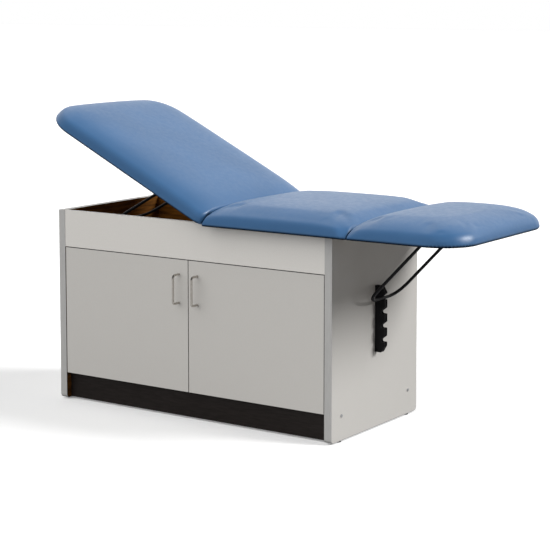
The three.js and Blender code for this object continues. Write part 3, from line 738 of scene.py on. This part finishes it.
def inflate(pad, piece, held):
    """Cloth under pressure, held along the pad's lower edge; no point goes far or into the board."""
    group = piece.vertex_groups.new(name="held")
    for level in np.unique(held.round(2)):
        if level > 0:
            members = np.flatnonzero(held.round(2) == level)
            group.add([int(i) for i in members], float(level), "REPLACE")
    cloth = piece.modifiers.new("swell", "CLOTH")
    settings = cloth.settings
    settings.quality = 5
    settings.mass = 0.3
    settings.tension_stiffness = 30
    settings.compression_stiffness = 30
    settings.shear_stiffness = 10
    settings.bending_stiffness = 8
    settings.vertex_group_mass = "held"
    settings.use_pressure = True
    settings.uniform_pressure_force = 4
    settings.effector_weights.gravity = 0
    cloth.collision_settings.use_collision = False
    cloth.collision_settings.use_self_collision = False
    scene = bpy.context.scene
    for step in range(1, CLOTH_FRAMES + 1):
        scene.frame_set(step)
    depsgraph = bpy.context.evaluated_depsgraph_get()
    swollen = coordinates_of(piece.evaluated_get(depsgraph).data)
    piece.modifiers.remove(cloth)
    scene.frame_set(1)
    start = coordinates_of(piece.data)
    move = swollen - start
    far = np.linalg.norm(move, axis=1)
    move *= (np.minimum(far, SWELL_CAP) / np.maximum(far, 1e-9))[:, None]
    local = in_pad(pad, start)
    along, across, up = in_pad(pad, move + np.array(pad.hinge)).T
    up = np.maximum(up, -SINK_CAP)
    side = np.sign(local[:, 1])
    across = side * np.maximum(side * across, -SINK_CAP)
    low = local[:, 2] < FIRM_BELOW
    if pad.start:
        along = np.where(low & (local[:, 0] < CREASE_DEPTH), np.maximum(along, 0), along)
    if pad.end:
        along = np.where(low & (local[:, 0] > pad.length - CREASE_DEPTH), np.minimum(along, 0), along)
    else:
        along = np.maximum(along, -SINK_CAP)
    piece.data.vertices.foreach_set("co", pad.place(local + np.column_stack([along, across, up])).ravel())
    piece.data.update()


def subdivide(piece, levels=1):
    modifier = piece.modifiers.new("smooth", "SUBSURF")
    modifier.levels = modifier.render_levels = levels
    depsgraph = bpy.context.evaluated_depsgraph_get()
    mesh = bpy.data.meshes.new_from_object(piece.evaluated_get(depsgraph))
    piece.modifiers.clear()
    piece.data = mesh


def in_pad(pad, points):
    """Points of the row frame as (u, v, w) points of a pad."""
    offset = points - np.array(pad.hinge)
    return np.column_stack([offset @ np.array(pad.along), offset[:, 1], offset @ np.array(pad.up)])


def round_corner(pad, local):
    """The direction and distance of points from the middle of the free corner they are nearest to."""
    ru = local[:, 0] - (pad.length - pad.end_radius)
    rv = np.abs(local[:, 1]) - (PAD_HALF_WIDTH - pad.end_radius)
    return np.arctan2(rv, ru), np.hypot(ru, rv)


def pleat_wave(pad, local):
    """From -0.6 to 0.4 across each pleat round the free corners, and 0 elsewhere."""
    if pad.end:
        return np.zeros(len(local))
    angle, _ = round_corner(pad, local)
    near = np.clip(np.minimum(angle, math.pi / 2 - angle) / PLEAT_FADE, 0, 1)
    ripple = np.abs(np.sin(angle * pad.end_radius / PLEAT_PITCH * math.pi))
    wave = ripple ** PLEAT_SHARPNESS - PLEAT_MEAN
    return near * wave


def gather_corners(pad, piece):
    """Small pleats along the lower edge where the cover goes round a free corner."""
    if pad.end:
        return
    points = coordinates_of(piece.data)
    local = in_pad(pad, points)
    angle, radius = round_corner(pad, local)
    low = np.clip(1 - local[:, 2] / PLEAT_HEIGHT, 0, 1) * (radius > pad.end_radius - PLEAT_INWARD)
    move = (pleat_wave(pad, local) * low * PLEAT_DEPTH)[:, None]
    outward = np.cos(angle)[:, None] * np.array(pad.along)
    outward = outward + (np.sign(local[:, 1]) * np.sin(angle))[:, None] * np.array((0, 1, 0))
    piece.data.vertices.foreach_set("co", (points + outward * move).ravel())
    piece.data.update()


def paint_hem_and_crease_shade(pad, piece):
    """Marks painted shade: a dark, dull strip along the lower edge and lines beside the creases, where shade
    falls.
    """
    local = in_pad(pad, coordinates_of(piece.data))
    pleats = pleat_wave(pad, local)
    painted_shade = 1 - local[:, 2] / (HEM_SHADE * (1 + 0.5 * pleats))
    painted_shade = painted_shade * np.clip(1 - (pad.inset(local[:, 0], local[:, 1]) - HEM_INSET) / HEM_INSET, 0, 1)
    for crease, distance in ((pad.start, local[:, 0]), (pad.end, pad.length - local[:, 0])):
        if crease:
            from_face = distance - face_lean(pad, crease, local[:, 2]) - CREASE_GAP
            painted_shade = np.maximum(painted_shade, 1 - from_face / CREASE_SHADE)
    attribute = piece.data.attributes.new("painted_shade", "FLOAT", "POINT")
    attribute.data.foreach_set("value", np.clip(painted_shade * PAINTED_SHADE_GAIN, 0, 1))


def make_pad(pad, material):
    points, faces, held = make_pad_mesh(pad)
    piece = mesh_object(f"{pad.name}_cushion", pad.place(points), faces)
    inflate(pad, piece, held)
    subdivide(piece)
    gather_corners(pad, piece)
    paint_hem_and_crease_shade(pad, piece)
    piece.data.materials.clear()
    piece.data.materials.append(material)
    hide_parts(f"{pad.name}_pad")
    return piece


def make_pads(material):
    back_hinge = JOINTS["backrest_tilt"]["pos_m"]
    leg_hinge = JOINTS["leg_rest_fold"]["pos_m"]
    back_crease = Crease(BACK_CREASE, CREASE_LEAN, BACK_CREASE_INSET, 0, BOARD_RADIUS["back"])
    leg_crease = Crease(LEG_CREASE, 0, LEG_CREASE_INSET, SEAT_CORNER_PULL, BOARD_RADIUS["leg"])
    leg_start = Crease(LEG_CREASE, 0, LEG_CREASE_INSET, LEG_CORNER_PULL, BOARD_RADIUS["leg"])
    seat = Pad("seat", "cabinet", back_hinge, 1, 0, (back_crease, leg_crease))
    back = Pad("back", "backrest", back_hinge, -1, BACK_ANGLE, (back_crease, None))
    leg = Pad("leg", "leg_rest", leg_hinge, 1, 0, (leg_start, None))
    for pad in (seat, leg):
        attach(make_pad(pad, material), pad.body)
    cushion = make_pad(back, material)
    # The foam at the back's crease presses against the seat, so its top corner stays with the seat.
    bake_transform(cushion)


# ------------------------------------------------------------------ assembly
materials = make_materials()
make_camera()
make_studio()
dress_cad_nodes(materials)
make_pads(materials["pad_vinyl"])

bpy.context.view_layer.update()
